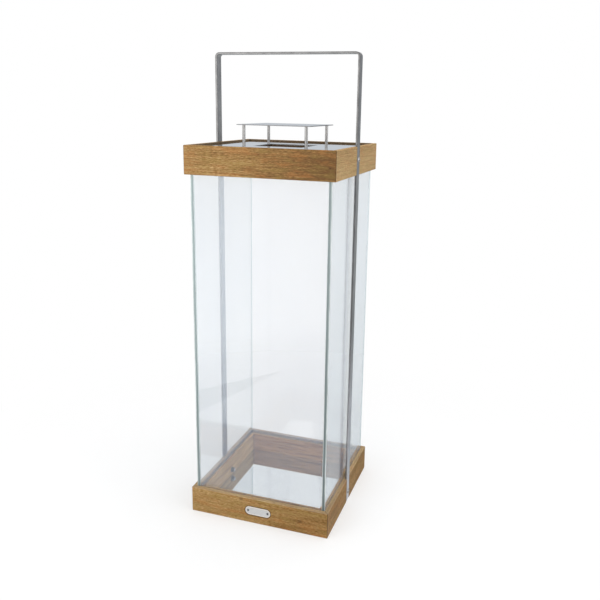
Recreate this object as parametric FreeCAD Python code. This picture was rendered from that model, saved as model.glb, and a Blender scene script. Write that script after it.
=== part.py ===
import FreeCAD, Part
import math
import os

# A tall floor lantern: a square glass box between two mitred wooden frames, with a polished
# floor plate, a vented lid that lifts out, and a handle bent from one flat bar.
# Lengths are in millimetres. The origin is the middle of the footprint on the ground, +Z is
# up and -Y is the front. An inset is measured inwards from the outer faces of the frames.

Vector = FreeCAD.Vector
ORIGIN = Vector(0, 0, 0)
ALONG_X = Vector(1, 0, 0)
ALONG_Y = Vector(0, 1, 0)
UP = Vector(0, 0, 1)
DOWN = Vector(0, 0, -1)
SIDES = ("front", "right", "back", "left")

# Whole lantern
frame_width = 300.0
frame_depth = 300.0
body_height = 765.0

# Moulding of the boards, the same in both frames: an outer lip, a groove for the glass and
# an inner lip that stays lower than the outer one
board_height = 55.0
outer_lip = 8.5
glass_groove_width = 9.5
glass_groove_depth = 10.0
inner_lip = 5.0
inner_lip_step = 3.5
arris_width = 0.8

# Loose tongues across the mitres
tongue_thickness = 4.0
tongue_width = 14.0
tongue_inset = 12.0
tongue_cover = 4.0
tongue_play = 0.1

# Glass panels on their bedding strips
glass_thickness = 6.0
glass_side_play = 0.25
glass_bond = 0.1
bedding_thickness = 1.5

# Floor plate on its panel, both in one groove along the inner faces of the lower boards
floor_height = 10.0
floor_plate_thickness = 1.5
base_panel_thickness = 5.5
floor_groove_depth = 8.0
floor_side_play = 0.5

# Handle: one flat bar, let in flush with the outer faces of the side boards
handle_rise = 176.0
handle_width = 20.0
handle_thickness = 4.0
handle_bend_radius = 5.0
handle_foot_gap = 2.0
handle_recess_play = 0.25

# Bolts of the handle, with a washer and a nut inside the frames
lower_bolt_height = 21.5
upper_bolt_drop = 25.0
bolt_radius = 3.0
bolt_hole_play = 0.2
bolt_head_radius = 5.25
bolt_head_height = 3.3
bolt_socket_flats = 4.0
bolt_socket_depth = 1.9
bolt_tail = 1.5
washer_radius = 6.0
washer_thickness = 1.6
nut_flats = 10.0
nut_height = 5.0
thread_play = 0.05

# Lid: a plate in the rebate of the upper frame, tubular posts and the cover over the vent
lid_recess = 3.0
lid_thickness = 2.0
lid_play = 0.5
lid_corner_radius = 2.0
vent_width = 102.0
vent_corner_radius = 3.0
post_edge_distance = 13.0
post_radius = 3.0
vent_gap = 40.0
cover_overhang = 8.0
cover_thickness = 1.5
cover_corner_radius = 2.0

# Long countersunk screws through cover, posts and lid plate, with nuts below
post_screw_radius = 1.5
post_screw_head_radius = 2.9
post_screw_socket_flats = 2.0
post_screw_socket_depth = 0.9
post_screw_tail = 1.0
post_nut_flats = 5.5
post_nut_height = 2.4

# Nameplate let into the lower front board, left bare
nameplate_length = 55.0
nameplate_height = 18.0
nameplate_thickness = 1.5
nameplate_play = 0.2
nameplate_screw_spacing = 43.0
nameplate_screw_radius = 1.2
nameplate_screw_head_radius = 2.3
nameplate_screw_length = 11.0
nameplate_screw_slot_width = 0.7
nameplate_screw_slot_depth = 0.6
nameplate_screw_turns = (40.0, -35.0)

# Shared clearances
screw_hole_play = 0.1
screw_end_play = 0.5
overrun = 2.0

# Derived places
glass_groove_inset = outer_lip + glass_groove_width
board_thickness = glass_groove_inset + inner_lip
glass_inset = outer_lip + glass_side_play
glass_foot = board_height - glass_groove_depth + bedding_thickness
glass_head = body_height - glass_foot
floor_plate_underside = floor_height - floor_plate_thickness
base_panel_underside = floor_plate_underside - base_panel_thickness
floor_inset = board_thickness - floor_groove_depth + floor_side_play
handle_top = body_height + handle_rise
bolt_heights = (lower_bolt_height, body_height - upper_bolt_drop)
lid_top = body_height - lid_recess
lid_underside = lid_top - lid_thickness
post_spacing = vent_width + 2 * post_edge_distance
cover_width = post_spacing + 2 * (post_radius + cover_overhang)
cover_underside = lid_top + vent_gap
cover_top = cover_underside + cover_thickness


# Shapes that several pieces share

def plan_corners(inset, z):
    """The four corners of the plan at an inset: front left, front right, back right, back left."""
    half_x = frame_width / 2 - inset
    half_y = frame_depth / 2 - inset
    signs = ((-1, -1), (1, -1), (1, 1), (-1, 1))
    return [Vector(sign_x * half_x, sign_y * half_y, z) for sign_x, sign_y in signs]


def plan_block(inset, z_low, z_high):
    """A block whose sides lie at an inset from the outer faces of the frames."""
    size_x = frame_width - 2 * inset
    size_y = frame_depth - 2 * inset
    return Part.makeBox(size_x, size_y, z_high - z_low, Vector(-size_x / 2, -size_y / 2, z_low))


def plan_ring(outer_inset, inner_inset, z_low, z_high):
    """A square ring between two insets."""
    hole = plan_block(inner_inset, z_low - overrun, z_high + overrun)
    return plan_block(outer_inset, z_low, z_high).cut(hole)


def upright_edges(shape):
    """The edges of a block that run along Z."""
    edges = []
    for edge in shape.Edges:
        start, end = edge.Vertexes[0].Point, edge.Vertexes[-1].Point
        if abs(start.z - end.z) > math.hypot(start.x - end.x, start.y - end.y):
            edges.append(edge)
    return edges


def square_sheet(width, depth, corner_radius, z_low, thickness):
    """A flat sheet centred on the axis, with rounded corners."""
    sheet = Part.makeBox(width, depth, thickness, Vector(-width / 2, -depth / 2, z_low))
    return sheet.makeFillet(corner_radius, upright_edges(sheet))


def hexagon(across_flats, height):
    """A hexagonal prism that stands on the origin."""
    radius = across_flats / 2 / math.cos(math.pi / 6)
    angles = [math.pi / 3 * step for step in range(7)]
    corners = [Vector(radius * math.cos(angle), radius * math.sin(angle), 0) for angle in angles]
    return Part.Face(Part.makePolygon(corners)).extrude(Vector(0, 0, height))


def slot_cutter(width, depth, reach, turn):
    """A bar across the origin that cuts a driver slot down from a screw's face."""
    bar = Part.makeBox(2 * reach, width, depth + overrun, Vector(-reach, -width / 2, -depth))
    bar.rotate(ORIGIN, UP, turn)
    return bar


def countersunk_body(shank_radius, head_radius, head_height, length, play):
    """A countersunk screw's outline, head face at the origin and shank downwards.

    The play grows it sideways and at the tip, and stands a mouth over the face, for the hole.
    """
    if play:
        tip = -length - screw_end_play
        outline = [Vector(0, 0, overrun), Vector(head_radius + play, 0, overrun)]
    else:
        tip = -length
        outline = [ORIGIN]
    outline += [
        Vector(head_radius + play, 0, 0),
        Vector(shank_radius + play, 0, -head_height),
        Vector(shank_radius + play, 0, tip),
        Vector(0, 0, tip),
    ]
    outline.append(outline[0])
    return Part.Face(Part.makePolygon(outline)).revolve(ORIGIN, UP, 360)


def placed(shape, place, direction):
    """A copy of a shape made along +Z, turned to a direction and moved to its place."""
    copy = shape.copy()
    copy.Placement = FreeCAD.Placement(place, FreeCAD.Rotation(UP, direction))
    return copy


def on_both_sides(left_piece):
    """A piece of the left side and its like on the right side, turned about the axis."""
    right_piece = left_piece.copy()
    right_piece.rotate(ORIGIN, UP, 180)
    return [left_piece, right_piece]


def mitred(ring):
    """Cuts a ring at 45 degrees into its four lengths, named by their sides."""
    z_low = ring.BoundBox.ZMin - overrun
    height = ring.BoundBox.ZLength + 2 * overrun
    outer = plan_corners(-overrun, z_low)
    inner = plan_corners(board_thickness + overrun, z_low)
    lengths = {}
    for place, side in enumerate(SIDES):
        after = (place + 1) % len(SIDES)
        corners = [outer[place], outer[after], inner[after], inner[place], outer[place]]
        wedge = Part.Face(Part.makePolygon(corners)).extrude(Vector(0, 0, height))
        lengths[side] = ring.common(wedge).Solids[0]
    return lengths


def turned_over(shape):
    """The same shape turned upside down about the middle of the body's height."""
    copy = shape.copy()
    copy.rotate(Vector(0, 0, body_height / 2), ALONG_X, 180)
    return copy


# Wooden frames

def moulded_ring():
    """One frame with its glass groove and low inner lip on top, before its rebate."""
    ring = plan_block(0, 0, board_height)
    ring = ring.makeChamfer(arris_width, ring.Edges)
    above = board_height + overrun
    ring = ring.cut(plan_block(board_thickness, -overrun, above))
    groove_floor = board_height - glass_groove_depth
    ring = ring.cut(plan_ring(outer_lip, glass_groove_inset, groove_floor, above))
    return ring.cut(plan_block(glass_groove_inset, board_height - inner_lip_step, above))


def corner_tongues(z_low, z_high, play):
    """Flat tongues across the four mitres, grown by the play for their slots."""
    thickness = tongue_thickness + 2 * play
    width = tongue_width + 2 * play
    tongues = []
    for place, corner in enumerate(plan_corners(tongue_inset, z_low - play)):
        start = Vector(-thickness / 2, -width / 2, 0)
        tongue = Part.makeBox(thickness, width, z_high - z_low + 2 * play, start)
        tongue.rotate(ORIGIN, UP, 45 + 90 * place)
        tongue.translate(corner)
        tongues.append(tongue)
    return tongues


def handle_recesses():
    """Cutters that let the legs of the handle into the side boards of both frames."""
    width = handle_width + 2 * handle_recess_play
    depth = handle_thickness + overrun
    start = Vector(-frame_width / 2 - overrun, -width / 2, -overrun)
    return on_both_sides(Part.makeBox(depth, width, body_height + 2 * overrun, start))


def bolt_holes():
    """Cutters for the handle bolts, right across the lantern at both heights."""
    start_x = -frame_width / 2 - overrun
    length = frame_width + 2 * overrun
    radius = bolt_radius + bolt_hole_play
    return [Part.makeCylinder(radius, length, Vector(start_x, 0, z), ALONG_X) for z in bolt_heights]


def nameplate_blank(play):
    """The stadium-shaped plate, let in from the front face, grown by the play for its seat."""
    radius = nameplate_height / 2 + play
    reach = nameplate_length / 2 - nameplate_height / 2
    face_y = -frame_depth / 2
    middle = board_height / 2
    top, bottom = middle + radius, middle - radius
    edges = [
        Part.LineSegment(Vector(-reach, face_y, top), Vector(reach, face_y, top)),
        Part.Arc(Vector(reach, face_y, top), Vector(reach + radius, face_y, middle),
                 Vector(reach, face_y, bottom)),
        Part.LineSegment(Vector(reach, face_y, bottom), Vector(-reach, face_y, bottom)),
        Part.Arc(Vector(-reach, face_y, bottom), Vector(-reach - radius, face_y, middle),
                 Vector(-reach, face_y, top)),
    ]
    outline = Part.Wire([edge.toShape() for edge in edges])
    blank = Part.Face(outline).extrude(Vector(0, nameplate_thickness, 0))
    if play:
        mouth = Part.Face(outline).extrude(Vector(0, -overrun, 0))
        return blank.fuse(mouth).removeSplitter()
    return blank


def nameplate_screw_places():
    """The head centres of the two screws, in the front face."""
    reach = nameplate_screw_spacing / 2
    return [Vector(sign * reach, -frame_depth / 2, board_height / 2) for sign in (-1, 1)]


def nameplate_screw_holes():
    """Cutters for the screws, through the plate into the board."""
    hole = countersunk_body(nameplate_screw_radius, nameplate_screw_head_radius,
                            nameplate_thickness, nameplate_screw_length, screw_hole_play)
    return [placed(hole, place, -ALONG_Y) for place in nameplate_screw_places()]


def lower_frame():
    """The four lower boards and the tongues of their mitres."""
    ring = moulded_ring()
    groove_inset = board_thickness - floor_groove_depth
    ring = ring.cut(plan_block(groove_inset, base_panel_underside, floor_height))
    tongue_low = floor_height + tongue_cover
    tongue_high = board_height - glass_groove_depth - tongue_cover
    cutters = corner_tongues(tongue_low, tongue_high, tongue_play)
    cutters += handle_recesses() + bolt_holes()
    cutters += [nameplate_blank(nameplate_play)] + nameplate_screw_holes()
    return mitred(ring.cut(cutters)), corner_tongues(tongue_low, tongue_high, 0)


def upper_frame():
    """The four upper boards, the same moulding turned over, and their tongues."""
    ring = turned_over(moulded_ring())
    ring = ring.cut(plan_block(outer_lip, lid_underside, body_height + overrun))
    tongue_low = body_height - board_height + glass_groove_depth + tongue_cover
    tongue_high = lid_underside - tongue_cover
    cutters = corner_tongues(tongue_low, tongue_high, tongue_play)
    cutters += handle_recesses() + bolt_holes()
    return mitred(ring.cut(cutters)), corner_tongues(tongue_low, tongue_high, 0)


# Glass box

def glass_panels():
    """Side panels over the whole depth, with the front and back panels between them."""
    height = glass_head - glass_foot
    outside_x = frame_width / 2 - glass_inset
    outside_y = frame_depth / 2 - glass_inset
    inside_x = outside_x - glass_thickness - glass_bond
    left = Part.makeBox(glass_thickness, 2 * outside_y, height,
                        Vector(-outside_x, -outside_y, glass_foot))
    front = Part.makeBox(2 * inside_x, glass_thickness, height,
                         Vector(-inside_x, -outside_y, glass_foot))
    panels = {"left": left, "front": front}
    for side, opposite in (("right", "left"), ("back", "front")):
        panels[side] = panels[opposite].copy()
        panels[side].rotate(ORIGIN, UP, 180)
    return panels


def lower_bedding():
    """The strips that the glass stands on, along the floor of the groove."""
    ring = plan_ring(outer_lip, glass_groove_inset, glass_foot - bedding_thickness, glass_foot)
    return list(mitred(ring).values())


# Floor of the lantern

def base_panel():
    """The panel that carries the floor plate, held in the groove of the four boards."""
    return plan_block(floor_inset, base_panel_underside, floor_plate_underside)


def floor_plate():
    """The polished plate on the panel, up against the top of the groove."""
    return plan_block(floor_inset, floor_plate_underside, floor_height)


# Handle and its bolts

def handle():
    """The bent bar: two legs flush with the side boards, two bends and the grip across."""
    inner_radius = handle_bend_radius
    outer_radius = handle_bend_radius + handle_thickness
    outer_x = frame_width / 2
    inner_x = outer_x - handle_thickness
    bend_x = outer_x - outer_radius
    bend_z = handle_top - outer_radius
    grip_underside = handle_top - handle_thickness
    start_y = -handle_width / 2
    halfway = math.sqrt(0.5)

    def point(x, z):
        return Vector(x, start_y, z)

    def bend(side, radius, from_leg):
        leg_end = point(side * (bend_x + radius), bend_z)
        middle = point(side * (bend_x + radius * halfway), bend_z + radius * halfway)
        grip_end = point(side * bend_x, bend_z + radius)
        ends = (leg_end, middle, grip_end) if from_leg else (grip_end, middle, leg_end)
        return Part.Arc(*ends)

    edges = [
        Part.LineSegment(point(-outer_x, handle_foot_gap), point(-outer_x, bend_z)),
        bend(-1, outer_radius, True),
        Part.LineSegment(point(-bend_x, handle_top), point(bend_x, handle_top)),
        bend(1, outer_radius, False),
        Part.LineSegment(point(outer_x, bend_z), point(outer_x, handle_foot_gap)),
        Part.LineSegment(point(outer_x, handle_foot_gap), point(inner_x, handle_foot_gap)),
        Part.LineSegment(point(inner_x, handle_foot_gap), point(inner_x, bend_z)),
        bend(1, inner_radius, True),
        Part.LineSegment(point(bend_x, grip_underside), point(-bend_x, grip_underside)),
        bend(-1, inner_radius, False),
        Part.LineSegment(point(-inner_x, bend_z), point(-inner_x, handle_foot_gap)),
        Part.LineSegment(point(-inner_x, handle_foot_gap), point(-outer_x, handle_foot_gap)),
    ]
    outline = Part.Wire([edge.toShape() for edge in edges])
    bar = Part.Face(outline).extrude(Vector(0, handle_width, 0))
    return bar.cut(bolt_holes())


def handle_bolts():
    """Button-headed bolts: heads on the bar, tails past the nuts inside the frames."""
    length = board_thickness + washer_thickness + nut_height + bolt_tail
    shank = Part.makeCylinder(bolt_radius, length, ORIGIN, DOWN)
    dome_radius = (bolt_head_radius ** 2 + bolt_head_height ** 2) / (2 * bolt_head_height)
    dome = Part.makeSphere(dome_radius, Vector(0, 0, bolt_head_height - dome_radius))
    head = Part.makeCylinder(bolt_head_radius, bolt_head_height, ORIGIN, UP).common(dome)
    socket = hexagon(bolt_socket_flats, bolt_socket_depth + overrun)
    socket.translate(Vector(0, 0, bolt_head_height - bolt_socket_depth))
    bolt = head.fuse(shank).removeSplitter().cut(socket)
    bolts = []
    for z in bolt_heights:
        bolts += on_both_sides(placed(bolt, Vector(-frame_width / 2, 0, z), -ALONG_X))
    return bolts


def bored(blank, radius):
    """A nut or washer made along +Z with its hole."""
    hole = Part.makeCylinder(radius, 2 * overrun + blank.BoundBox.ZLength, Vector(0, 0, -overrun))
    return blank.cut(hole)


def inside_the_boards(piece, inset):
    """Copies of a piece on the four bolts, standing inwards from an inset."""
    copies = []
    for z in bolt_heights:
        copies += on_both_sides(placed(piece, Vector(inset - frame_width / 2, 0, z), ALONG_X))
    return copies


def handle_washers():
    """Washers on the inner faces of the boards."""
    washer = bored(Part.makeCylinder(washer_radius, washer_thickness), bolt_radius + bolt_hole_play)
    return inside_the_boards(washer, board_thickness)


def handle_nuts():
    """Hexagon nuts on the washers."""
    nut = bored(hexagon(nut_flats, nut_height), bolt_radius + thread_play)
    return inside_the_boards(nut, board_thickness + washer_thickness)


# Lid

def post_places(z):
    """The axes of the four posts at a height, named by their corners."""
    reach = post_spacing / 2
    return {
        "front_left": Vector(-reach, -reach, z),
        "front_right": Vector(reach, -reach, z),
        "back_left": Vector(-reach, reach, z),
        "back_right": Vector(reach, reach, z),
    }


def post_screw_length():
    """From the cover's face to the tail under the nut."""
    return cover_top - lid_underside + post_nut_height + post_screw_tail


def post_screw_holes():
    """Cutters for the screws, countersunk in the cover and straight on to below the lid plate."""
    hole = countersunk_body(post_screw_radius, post_screw_head_radius, cover_thickness,
                            post_screw_length(), screw_hole_play)
    return [placed(hole, place, UP) for place in post_places(cover_top).values()]


def post_screws():
    """Four countersunk screws with hexagon sockets."""
    screw = countersunk_body(post_screw_radius, post_screw_head_radius, cover_thickness,
                             post_screw_length(), 0)
    socket = hexagon(post_screw_socket_flats, post_screw_socket_depth + overrun)
    socket.translate(Vector(0, 0, -post_screw_socket_depth))
    screw = screw.cut(socket)
    return [placed(screw, place, UP) for place in post_places(cover_top).values()]


def post_nuts():
    """Hexagon nuts under the lid plate."""
    nut = bored(hexagon(post_nut_flats, post_nut_height), post_screw_radius + thread_play)
    return [placed(nut, place, DOWN) for place in post_places(lid_underside).values()]


def lid_plate():
    """The sheet in the rebate of the upper frame, with the vent hole in its middle."""
    width = frame_width - 2 * (outer_lip + lid_play)
    depth = frame_depth - 2 * (outer_lip + lid_play)
    plate = square_sheet(width, depth, lid_corner_radius, lid_underside, lid_thickness)
    vent = square_sheet(vent_width, vent_width, vent_corner_radius,
                        lid_underside - overrun, lid_thickness + 2 * overrun)
    return plate.cut([vent] + post_screw_holes())


def posts():
    """Tubular posts between the lid plate and the vent cover."""
    holes = post_screw_holes()
    pieces = {}
    for corner, place in post_places(lid_top).items():
        pieces[corner] = Part.makeCylinder(post_radius, vent_gap, place).cut(holes)
    return pieces


def vent_cover():
    """The thin sheet on the posts, over the vent hole."""
    cover = square_sheet(cover_width, cover_width, cover_corner_radius,
                         cover_underside, cover_thickness)
    return cover.cut(post_screw_holes())


# Nameplate

def nameplate_screws():
    """Slotted screws, flush with the plate, each stopped at its own angle."""
    body = countersunk_body(nameplate_screw_radius, nameplate_screw_head_radius,
                            nameplate_thickness, nameplate_screw_length, 0)
    reach = nameplate_screw_head_radius + overrun
    screws = []
    for place, turn in zip(nameplate_screw_places(), nameplate_screw_turns):
        slot = slot_cutter(nameplate_screw_slot_width, nameplate_screw_slot_depth, reach, turn)
        screws.append(placed(body.cut(slot), place, -ALONG_Y))
    return screws


# Every node of the lantern by its name

def all_nodes():
    """Each node's name with its solid, or with its group of like solids."""
    nodes = {}
    lower_boards, lower_tongues = lower_frame()
    upper_boards, upper_tongues = upper_frame()
    panels = glass_panels()
    for side in SIDES:
        nodes["bottom_" + side + "_board"] = lower_boards[side]
        nodes["top_" + side + "_board"] = upper_boards[side]
        nodes["glass_" + side] = panels[side]
    bedding = lower_bedding()
    nodes["bottom_mitre_tongues"] = lower_tongues
    nodes["top_mitre_tongues"] = upper_tongues
    nodes["bottom_bedding"] = bedding
    nodes["top_bedding"] = [turned_over(strip) for strip in bedding]
    nodes["base_panel"] = base_panel()
    nodes["floor_plate"] = floor_plate()
    nodes["handle"] = handle()
    nodes["handle_bolts"] = handle_bolts()
    nodes["handle_washers"] = handle_washers()
    nodes["handle_nuts"] = handle_nuts()
    nodes["nameplate"] = nameplate_blank(0).cut(nameplate_screw_holes())
    nodes["nameplate_screws"] = nameplate_screws()
    nodes["lid_plate"] = lid_plate()
    for corner, post in posts().items():
        nodes["post_" + corner] = post
    nodes["vent_cover"] = vent_cover()
    nodes["post_screws"] = post_screws()
    nodes["post_nuts"] = post_nuts()
    return nodes


os.makedirs("parts", exist_ok=True)
for name, content in all_nodes().items():
    shape = Part.makeCompound(content) if isinstance(content, list) else content
    shape.exportStep("parts/" + name + ".step")
    print(name, len(shape.Solids), "solids", round(shape.Volume), "mm3")
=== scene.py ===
import math

import bpy
import numpy as np
from mathutils import Matrix, Vector


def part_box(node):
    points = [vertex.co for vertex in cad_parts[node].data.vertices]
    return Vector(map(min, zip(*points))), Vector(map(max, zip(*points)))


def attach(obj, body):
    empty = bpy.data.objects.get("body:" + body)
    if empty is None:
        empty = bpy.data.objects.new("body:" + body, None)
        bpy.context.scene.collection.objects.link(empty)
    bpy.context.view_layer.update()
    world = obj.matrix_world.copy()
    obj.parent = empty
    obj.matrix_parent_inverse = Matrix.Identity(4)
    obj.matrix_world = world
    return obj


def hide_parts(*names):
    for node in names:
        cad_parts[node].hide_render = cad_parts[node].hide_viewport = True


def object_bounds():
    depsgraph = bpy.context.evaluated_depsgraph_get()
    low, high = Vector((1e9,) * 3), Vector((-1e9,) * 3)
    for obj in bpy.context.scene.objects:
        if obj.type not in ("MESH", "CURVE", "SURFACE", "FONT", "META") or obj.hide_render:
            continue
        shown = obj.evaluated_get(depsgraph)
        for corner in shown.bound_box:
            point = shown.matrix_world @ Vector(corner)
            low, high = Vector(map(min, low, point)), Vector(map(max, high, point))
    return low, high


# A tall floor lantern of glass and oiled oak: a square glass box between two mitred oak frames,
# a mirror-polished floor plate, a vented steel lid on four posts and a handle bent from one bar.
# Lengths are in metres, MM is a millimetre, +Z is up and -Y is the front.

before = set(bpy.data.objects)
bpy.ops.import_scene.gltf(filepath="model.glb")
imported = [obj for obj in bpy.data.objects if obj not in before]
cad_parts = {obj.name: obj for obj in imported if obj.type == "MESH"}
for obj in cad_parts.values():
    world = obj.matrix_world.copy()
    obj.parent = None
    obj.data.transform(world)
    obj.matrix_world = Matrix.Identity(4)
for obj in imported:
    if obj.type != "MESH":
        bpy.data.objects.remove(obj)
cad_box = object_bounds()

SIDES = ("front", "right", "back", "left")
MM = 0.001

# The curve of a picture's tones: a straight foot up to a knee, and a power above it
picture_white = 255
foot_slope = 12.92
knee = 0.04045
curve_offset = 0.055
curve_power = 2.4


def tone(red, green, blue):
    """A colour written as a picture shows it, 0 to 255, as the shader takes it."""
    shares = np.array([red, green, blue]) / picture_white
    curve = ((shares + curve_offset) / (1 + curve_offset)) ** curve_power
    linear = np.where(shares > knee, curve, shares / foot_slope)
    return (*linear.tolist(), 1.0)


# Rounded arrises of the new pieces, and the points round a piece that is turned
band = 0.15 * MM
arc_steps = 4
round_columns = 36
smooth_turn = math.radians(35)

# Glass: its arrises and corners, how squarely a normal stands on a face, and each pane's tint
glass_arris = 0.5 * MM
glass_corner = 0.6 * MM
flat_to_face = 0.999
pane_tints = {"front": tone(251, 249, 246), "right": tone(247, 248, 246),
              "back": tone(251, 249, 246), "left": tone(247, 248, 246)}

# Handle: its flat bar, the arris left where its ends draw in, and its bends
bar_width = 20 * MM
bar_thickness = 4 * MM
bar_arris = 0.7 * MM
bar_end_arris = bar_arris / 5
bend_radius = 5 * MM
bend_steps = 14

# Handle bolts, their washers and nuts
bolt_radius = 3 * MM
bolt_head_radius = 5.25 * MM
bolt_head_height = 3.3 * MM
bolt_socket_flats = 4 * MM
bolt_socket_depth = 1.9 * MM
bolt_tail = 1.5 * MM
thread_pitch = 1 * MM
thread_depth = 0.55 * MM
thread_turns = 9
thread_rows_per_turn = 6
washer_thickness = 1.6 * MM
nut_flats = 10 * MM
nut_height = 5 * MM

# Bolts and nuts, as shares of their radius and height: where the dome of the head starts, how
# far it falls and its rim, how the socket, the underside and the tip draw in, and the cones that
# cut the nut's corners
dome_start = 0.52
dome_rows = 7
dome_fall = 0.72
dome_rim = 0.16
socket_draft = 0.96
head_draft = 0.97
tip_draft = 0.85
tip_length = 0.1
nut_cone = (0.97, 1.06, 1.16)
nut_drop = (0.0, 0.07, 0.16)

# Posts of the lid
post_chamfer = 0.3 * MM

# Edges of the carried-over pieces
wood_arris = 0.3 * MM
sheet_arris = 0.2 * MM
arris_segments = 2
weld_reach = 0.01 * MM
flat_turn = math.radians(1)
sharp_turn = math.radians(30)

# Wood: half the side of the frames, the width of a growth ring, how deep the painted shade
# line round the nameplate goes, how far each next board is shifted along, and the heights of the
# boards' piths
half_side = cad_box[1][1]
ring_width = 1.5 * MM
plate_inset = 4 * MM
board_shift = 0.37
pith_heights = (-0.06, 0.11, -0.09, 0.13, 0.68, 0.86, 0.66, 0.84)

# How each board differs: its drift is how much darker it is at its two ends, and pale is how
# far it goes towards a paler tone; a knot is its place along, its height, its size and how dark it
# is
board_looks = {
    "bottom_front_board": {"drift": (-0.08, 0.08),
                           "knots": ((-0.037, 0.05, 0.004, 0.5), (0.092, 0.026, 0.005, 0.45))},
    "bottom_right_board": {"drift": (0.14, 0.12)},
    "bottom_back_board": {"drift": (0.0, 0.05)},
    "bottom_left_board": {"drift": (0.05, 0.0)},
    "top_front_board": {"drift": (0.0, 0.4), "knots": ((0.139, 0.734, 0.0016, 0.8),)},
    "top_right_board": {"drift": (-0.2, -0.15), "pale": 0.1},
    "top_back_board": {"drift": (0.05, 0.0)},
    "top_left_board": {"drift": (0.0, 0.05)},
}


# Shapes: each is a grid of points, worked out as whole arrays

def quarter_turns():
    """Angles of the points round a four-cornered outline, a quarter turn for each corner."""
    corner = np.repeat(np.arange(4), arc_steps + 2)
    share = np.tile(np.concatenate([[0], np.linspace(0, 1, arc_steps), [1]]), 4)
    return corner, (corner + share) * math.pi / 2


def rounded_outline(half_x, half_y, radius):
    """Points round a rectangle with round corners, one row for each given size: each corner is
    its centre plus the radius times the cosine and sine of a quarter turn. A narrow band leads
    along the sides into it, so that they shade flat."""
    half_x, half_y, radius = (np.atleast_1d(value)[:, None] for value in (half_x, half_y, radius))
    corner, angle = quarter_turns()
    sign_x = np.array([1, -1, -1, 1])[corner]
    sign_y = np.array([1, 1, -1, -1])[corner]
    lead = np.tile(np.concatenate([[-band], np.zeros(arc_steps), [band]]), 4)
    x = sign_x * (half_x - radius) + radius * np.cos(angle) - lead * np.sin(angle)
    y = sign_y * (half_y - radius) + radius * np.sin(angle) + lead * np.cos(angle)
    return np.stack(np.broadcast_arrays(x, y), -1)


def arris_rows(length, radius):
    """Heights and insets up a wall with round edges: a quarter circle at each end."""
    angle = np.linspace(0, math.pi / 2, arc_steps)
    inset = radius * (1 - np.sin(angle))
    height = radius * (1 - np.cos(angle))
    inset = np.concatenate([[radius + band], inset, [0]])
    height = np.concatenate([[0], height, [radius + band]])
    heights = np.concatenate([height, length - height[::-1]])
    return heights, np.concatenate([inset, inset[::-1]])


def rounded_block(low, high, corner, arris):
    """A block between two corners with all its edges rounded: rows of its plan, each drawn in
    by the row's inset at the row's height."""
    low, high = np.array(low), np.array(high)
    heights, insets = arris_rows(high[2] - low[2], arris)
    half = (high - low) / 2
    middle = (high + low) / 2
    plan = rounded_outline(half[0] - insets, half[1] - insets, corner - insets)
    points = np.empty(plan.shape[:2] + (3,))
    points[..., :2] = plan + middle[:2]
    points[..., 2] = low[2] + heights[:, None]
    return points


def full_turn():
    """Angles of the columns of a piece that is turned."""
    return np.arange(round_columns) * 2 * math.pi / round_columns


def turned(radii, heights):
    """A shape of turning about Z: each row has a radius and a height, one for all angles or one
    for each."""
    radii, heights = (np.stack([np.broadcast_to(row, round_columns) for row in rows])
                      for rows in (radii, heights))
    angle = full_turn()
    return np.stack([radii * np.cos(angle), radii * np.sin(angle), heights], -1)


def hexagon_radius(across_flats):
    """Distance of a hexagon's edge at each angle: half its flats over the cosine to the flat."""
    to_flat = np.mod(full_turn(), math.pi / 3) - math.pi / 6
    return across_flats / 2 / np.cos(to_flat)


def skin(points, rows_close=False):
    """Vertices and quads over a grid whose columns run round and close, with flat caps unless
    its rows close too."""
    rows, columns = points.shape[:2]
    number = np.arange(rows * columns).reshape(rows, columns)
    row_after = np.roll(number, -1, 0)
    quads = np.stack([number, np.roll(number, -1, 1), np.roll(row_after, -1, 1), row_after], -1)
    if rows_close:
        return points.reshape(-1, 3), quads.reshape(-1, 4).tolist()
    caps = [number[0, ::-1].tolist(), number[-1].tolist()]
    return points.reshape(-1, 3), quads[:-1].reshape(-1, 4).tolist() + caps


def joined(skins):
    """Several skins as one list of vertices and one of faces."""
    vertices, faces, count = [], [], 0
    for skin_vertices, skin_faces in skins:
        vertices.append(skin_vertices)
        faces += [[count + number for number in face] for face in skin_faces]
        count += len(skin_vertices)
    return np.concatenate(vertices), faces


def placed(name, data):
    """A new object in the scene."""
    thing = bpy.data.objects.new(name, data)
    bpy.context.scene.collection.objects.link(thing)
    return thing


def add_piece(name, skins, materials, body, replaced):
    """A new piece from its skins, riding on a body in place of the nodes that it replaces."""
    vertices, faces = joined(skins)
    mesh = bpy.data.meshes.new(name)
    mesh.from_pydata(vertices.tolist(), [], faces)
    for material in materials:
        mesh.materials.append(material)
    mesh.shade_smooth()
    mesh.set_sharp_from_angle(angle=smooth_turn)
    piece = placed(name, mesh)
    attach(piece, body)
    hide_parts(*replaced)
    return piece


def note(piece, name, values):
    """Keeps one number or one vector for each vertex of a piece, for its material to read."""
    values = np.asarray(values, dtype=float)
    wide = values.ndim > 1
    kept = piece.data.attributes.new(name, "FLOAT_VECTOR" if wide else "FLOAT", "POINT")
    kept.data.foreach_set("vector" if wide else "value", values.ravel())


# Materials: a pattern is a noise, given by its blobs per metre, its detail and its roughness. A
# range is two values of a pattern, and what they become where that isn't 0 and 1

WHITE = (1, 1, 1, 1)
BLACK = (0, 0, 0, 1)

# The Mix node's places for colours
mix_first = 6
mix_second = 7
mix_result = 2
new_stop_place = 0.5


def scaled(colour, share):
    """A colour made darker or lighter, held within 1."""
    return (*(min(1.0, value * share) for value in colour[:3]), 1.0)


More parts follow.
